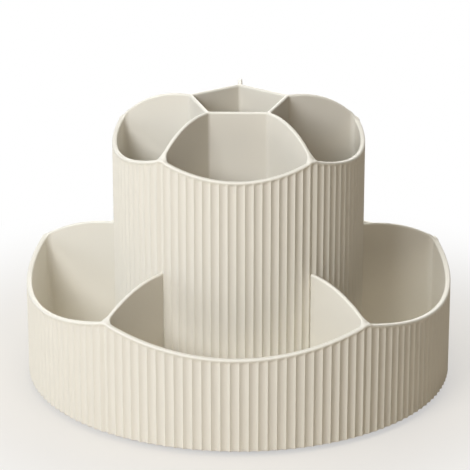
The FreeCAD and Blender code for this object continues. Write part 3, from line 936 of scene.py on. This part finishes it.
@dataclass
class UpperTower(FlutedTier):
    """The tall inner tier: five pockets round a five-sided cup.

    Attributes:
        hub_radius: distance from the axis to a corner of the cup's outer faces.
        hub_corner, cup_corner: radii of the fillet beside a divider and of the cup's inner corners.
        face_columns, bend_columns: columns on half a face of the cup, and on half the fillet.
        face_support: share of half a face at which its last column before the fillet lies.
        floor_shares: rows of a floor, as shares of the way from its middle to its edge.
    """

    radius: float = 64.5
    wall: float = 2.5
    foot: float = 13.7
    floor: float = 21.7
    under: float = 19.7
    rim_low: float = 125.7
    rim_high: float = 132.8
    fin_start: float = 27.1
    fin_shoulder: float = 30.1
    fin_high: float = 147.8
    flutes: int = 19
    hub_radius: float = 27.1
    hub_wall: float = 2.0
    hub_corner: float = 2.0
    cup_corner: float = 1.5
    face_columns: int = 4
    face_support: float = 0.93
    bend_columns: int = 5
    floor_shares: tuple[float, ...] = (1.0, 0.6, 0.2, 0.0)

    @property
    def hub_face(self) -> float:
        """Distance from the axis to a face of the five-sided cup."""
        return self.hub_radius * math.cos(self.half)

    @property
    def hub_middle(self) -> float:
        """Distance from the axis to the middle line of the cup's wall."""
        return self.hub_face - self.hub_wall / 2

    @property
    def hub_tip(self) -> complex:
        """Corner of that middle line, on the divider's middle line."""
        return self.hub_middle / math.cos(self.half) * self.along

    @property
    def hub_corner_centre(self) -> complex:
        """Centre of the fillet between the cup's face and the divider."""
        off = self.fin / 2 + self.hub_corner
        reach = (self.hub_face + self.hub_corner - off * math.sin(self.half)) / math.cos(self.half)
        return (reach + 1j * off) * self.along

    @property
    def hub_join(self) -> complex:
        """Where the tops of the cup's face and of the fillet meet, on the wall's middle line."""
        return self.hub_middle + 1j * self.hub_corner_centre.imag

    def hub_shares(self) -> tuple[Array, Array]:
        """Return the columns' shares of half a cup face and of the fillet beside it."""
        face = np.append(np.linspace(0.0, self.face_support, self.face_columns), 1.0)
        return face, np.linspace(0.0, 1.0, self.bend_columns)

    def hub_path(self) -> Path:
        """Return half a face of the cup from its middle, then the fillet to the divider.

        The face's top meets the wall's middle line, the top of the fillet's first half the rest of
        that line up to the cup's corner, and that of its second half the divider's middle line.

        Returns:
            The path from the middle of a face to the divider's face.
        """
        centre = self.hub_corner_centre
        face, bend = self.hub_shares()
        down = centre.imag * face
        reach = np.linspace(abs(self.hub_tip), self.fin_reach(centre), len(bend))
        round_shares = np.linspace(0.0, 1.0, 2 * len(bend) - 1)
        way = turn(lerp(math.pi, 3 * QUARTER_TURN - self.half, round_shares))
        straight = Path(self.hub_face + 1j * down, -np.ones(len(face)) + 0j,
                        self.hub_middle + 1j * down)
        fillet = Path(centre + self.hub_corner * way, way,
                      np.append(lerp(self.hub_join, self.hub_tip, bend), reach[1:] * self.along))
        return straight.then(fillet)

    def cup_path(self) -> Path:
        """Return half a face of the cup's inside, then half the rounded corner on the divider's line.

        Returns:
            The path from the middle of a face to the middle of a corner.
        """
        inside = self.hub_face - self.hub_wall
        face, bend = self.hub_shares()
        centre = (inside - self.cup_corner) / math.cos(self.half) * self.along
        way = turn(-self.half * bend)
        straight = Path(inside + 1j * centre.imag * face, np.ones(len(face)) + 0j,
                        self.hub_middle + 1j * self.hub_corner_centre.imag * face)
        rounded = Path(centre + self.cup_corner * way, way, lerp(self.hub_join, self.hub_tip, bend))
        return straight.then(rounded)

    def build(self) -> Object:
        """Build the tower's shell.

        Returns:
            The tower as one piece.
        """
        skin = Skin()
        angles = self.wall_angles()
        divider = self.divider_path(self.fin_reach(self.hub_corner_centre))
        start = self.hub_path().then(divider).then(self.corner_path(angles))
        plan, _, _ = self.add_walls(skin, start, angles)

        middle = complex((self.hub_face + self.inner) / 2)
        inward = np.array(self.floor_shares)[:, None]
        skin.add_round(lerp(middle, plan[-1], inward), self.floor, self.sectors)

        half_cup = self.cup_path()
        cup = half_cup.mirror().then(half_cup)
        plan, height, highlight_rows = self.wall_rows(cup, np.full(len(cup.line), self.fin_high))
        skin.add_round(plan, height, self.sectors, highlight_rows)
        skin.add_round(plan[-1] * inward, self.floor, self.sectors)
        self.close(skin, self.inner * turn(angles), self.under, [(0.0, self.under)])
        return skin.build("tower_shell")


# --- pieces that keep their CAD shape ---------------------
@dataclass
class Turntable:
    """The ball-bearing base under the tray, whose CAD solids keep their shape and get a finish."""

    slots: dict[str, Slot]

    def dress(self, materials: dict[Slot, Material]) -> None:
        """Give each CAD node the finish of its slot.

        Args:
            materials: the finishes by slot.
        """
        for name, node in frame["nodes"].items():
            node.data.materials.clear()
            node.data.materials.append(materials[self.slots[name]])
            log.info("%s: %s", name, self.slots[name].value)


# --- floor, lights and camera -----------------------------
def aim(holder: Object, place: Vector, way: Vector) -> None:
    """Put a lamp or the camera at a place, looking along a way."""
    holder.location = place
    holder.rotation_euler = way.to_track_quat("-Z", "Y").to_euler()


@dataclass(frozen=True)
class Lamp:
    """A soft rectangular lamp aimed at a centre: size and places in metres, power in watts."""

    name: str
    place: Place
    size: tuple[float, float]
    power: float
    colour: Colour = WHITE
    centre: Place = (0.0, 0.0, 0.07)

    def build(self) -> None:
        """Put the lamp in the scene."""
        light = bpy.data.lights.new(self.name, "AREA")
        light.shape = "RECTANGLE"
        light.size, light.size_y = self.size
        light.energy = self.power
        light.color = self.colour
        place = Vector(self.place)
        aim(new_object(self.name, light), place, Vector(self.centre) - place)


@dataclass
class Studio:
    """A pale floor, a faint light all round, five lamps and the camera, in metres and degrees.

    The key lamp stands at the front left and leaves the right side in shade, which the weak warm
    fill lamp tints.  The left lamp is cool and low, and the top and back lamps are nearly white.

    Attributes:
        floor_gap: how far the floor lies below the object.
        fade_reach: distances from the axis between which the seen floor fades to white.
        fade_share: shares of white at those two distances.
        target, distance: the point that the camera looks at, and how far it is from there.
        focal_pixels, image_pixels: focal length and width of the render, both in its pixels.
        far_clip: distance up to which the camera sees.
    """

    lamps: tuple[Lamp, ...] = (
        Lamp("key_lamp", (-0.61, -0.94, 0.72), (0.55, 0.55), 11.0, (0.97, 0.985, 1.0)),
        Lamp("left_lamp", (-1.27, -0.22, 0.25), (0.8, 0.7), 3.7, (0.89, 0.94, 1.0)),
        Lamp("fill_lamp", (0.53, -0.99, 0.72), (0.7, 0.7), 0.95, (1.0, 0.7, 0.4)),
        Lamp("top_lamp", (0.0, -0.18, 1.36), (0.7, 0.7), 6.6, (1.0, 0.97, 0.9)),
        Lamp("back_lamp", (0.11, 1.23, 0.47), (0.9, 0.7), 9.5, (1.0, 0.985, 0.94)),
    )
    world_tint: Colour = (1.0, 0.8, 0.56)
    world_strength: float = 0.015
    floor_size: float = 8.0
    floor_gap: float = 0.0002
    floor_tone: Colour = (0.64, 0.585, 0.495)
    floor_roughness: float = 0.9
    fade_reach: tuple[float, float] = (0.10, 0.26)
    fade_share: tuple[float, float] = (0.55, 1.0)
    target: Place = (-0.00187, 0.0, 0.0743)
    distance: float = 1.333
    elevation: float = 20.58
    azimuth: float = -1.1
    focal_pixels: float = 2576.0
    image_pixels: float = 470.0
    far_clip: float = 30.0

    def build(self) -> None:
        """Build everything round the object."""
        self.add_floor()
        self.add_world()
        for lamp in self.lamps:
            lamp.build()
        self.add_camera()
        bpy.context.scene.view_settings.view_transform = "Standard"

    @staticmethod
    def seen_share(tree: NodeTree) -> Node:
        """Add the greatest of the camera, glossy and transmission ray flags.

        Args:
            tree: the node tree that takes the nodes.

        Returns:
            A node whose value is 1 for what the camera, metal or glass sees, and 0 for other light.
        """
        rays = add_node(tree, "LightPath")
        direct = add_node(tree, "Math", operation="MAXIMUM")
        seen = add_node(tree, "Math", operation="MAXIMUM")
        link_all(tree, [
            Wire(rays, "Is Camera Ray", direct, MathInput.A),
            Wire(rays, "Is Glossy Ray", direct, MathInput.B),
            Wire(direct, "Value", seen, MathInput.A),
            Wire(rays, "Is Transmission Ray", seen, MathInput.B),
        ])
        return seen

    def add_floor(self) -> None:
        """Add the floor, just below the object."""
        side = np.array([-0.5, 0.5]) * self.floor_size
        x, y = np.meshgrid(side, side)
        corners = np.stack([x.ravel(), y.ravel(), np.full(4, -self.floor_gap)], axis=-1)
        mesh = bpy.data.meshes.new("floor")
        mesh.from_pydata(corners.tolist(), [], [(0, 1, 3, 2)])
        floor = new_object("floor", mesh)
        mesh.materials.append(self.floor_paper())

    def floor_paper(self) -> Material:
        """Build the floor's material.

        Returns:
            A material that is matt and pale, seen as white away from the object, and clear from below.
        """
        material = bpy.data.materials.new("floor_paper")
        material.use_nodes = True
        tree = material.node_tree
        paper = set_inputs(tree.nodes["Principled BSDF"], {
            "Base Color": (*self.floor_tone, 1.0), "Roughness": self.floor_roughness,
            "Specular IOR Level": 0.0})
        glow = add_node(tree, "Emission", {"Strength": 1.0})
        place = add_node(tree, "TexCoord")
        reach = add_node(tree, "VectorMath", operation="LENGTH")
        labels = ("From Min", "From Max", "To Min", "To Max")
        ends = dict(zip(labels, self.fade_reach + self.fade_share))
        fade = add_node(tree, "MapRange", ends, interpolation_type="SMOOTHSTEP")
        white = add_node(tree, "Math", operation="MULTIPLY")
        surface = add_node(tree, "MixShader")
        side_seen = add_node(tree, "NewGeometry")
        clear = add_node(tree, "BsdfTransparent")
        whole = add_node(tree, "MixShader")
        out = tree.nodes["Material Output"]
        link_all(tree, [
            Wire(place, "Object", reach, MathInput.A),
            Wire(reach, "Value", fade, "Value"),
            Wire(fade, "Result", white, MathInput.A),
            Wire(self.seen_share(tree), "Value", white, MathInput.B),
            Wire(white, "Value", surface, ShaderInput.SHARE),
            Wire(paper, "BSDF", surface, ShaderInput.FIRST),
            Wire(glow, "Emission", surface, ShaderInput.SECOND),
            Wire(side_seen, "Backfacing", whole, ShaderInput.SHARE),
            Wire(surface, "Shader", whole, ShaderInput.FIRST),
            Wire(clear, "BSDF", whole, ShaderInput.SECOND),
            Wire(whole, "Shader", out, "Surface"),
        ])
        return material

    def add_world(self) -> None:
        """Add a faint warm light from all round, seen as white by the camera and in reflections."""
        world = bpy.data.worlds.new("studio")
        bpy.context.scene.world = world
        world.use_nodes = True
        tree = world.node_tree
        light = set_inputs(tree.nodes["Background"], {
            "Strength": self.world_strength, "Color": (*self.world_tint, 1.0)})
        white = add_node(tree, "Background", {"Color": (*WHITE, 1.0), "Strength": 1.0})
        mix = add_node(tree, "MixShader")
        out = tree.nodes["World Output"]
        link_all(tree, [
            Wire(self.seen_share(tree), "Value", mix, ShaderInput.SHARE),
            Wire(light, "Background", mix, ShaderInput.FIRST),
            Wire(white, "Background", mix, ShaderInput.SECOND),
            Wire(mix, "Shader", out, "Surface"),
        ])

    def add_camera(self) -> None:
        """Add the camera, looking at the target from its azimuth and elevation."""
        camera = bpy.data.cameras.new("camera")
        camera.sensor_fit = "HORIZONTAL"
        camera.lens = camera.sensor_width * self.focal_pixels / self.image_pixels
        camera.clip_end = self.far_clip
        side, up = math.radians(self.azimuth), math.radians(self.elevation)
        look = Vector((math.sin(side) * math.cos(up), math.cos(side) * math.cos(up), -math.sin(up)))
        holder = new_object("camera", camera)
        aim(holder, Vector(self.target) - look * self.distance, look)
        bpy.context.scene.camera = holder


def main() -> None:
    """Build the finishes, the dressed base, both tiers and the studio, in order."""
    groups = SurfaceGroups()
    materials = {slot: finish.build(groups) for slot, finish in FINISHES.items()}
    slots = {part["node"]: Slot(part["material_slot"]) for part in frame["record"]["subparts"]}
    Turntable(slots).dress(materials)
    tiers = ((LowerTray(), "lower_tray", Slot.TRAY), (UpperTower(), "upper_tower", Slot.TOWER))
    for tier, node, slot in tiers:
        piece = tier.build()
        piece.data.materials.append(materials[slot])
        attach(piece, Body.ORGANISER.value)
        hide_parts(node)
    Studio().build()


if __name__ == "__main__":
    main()
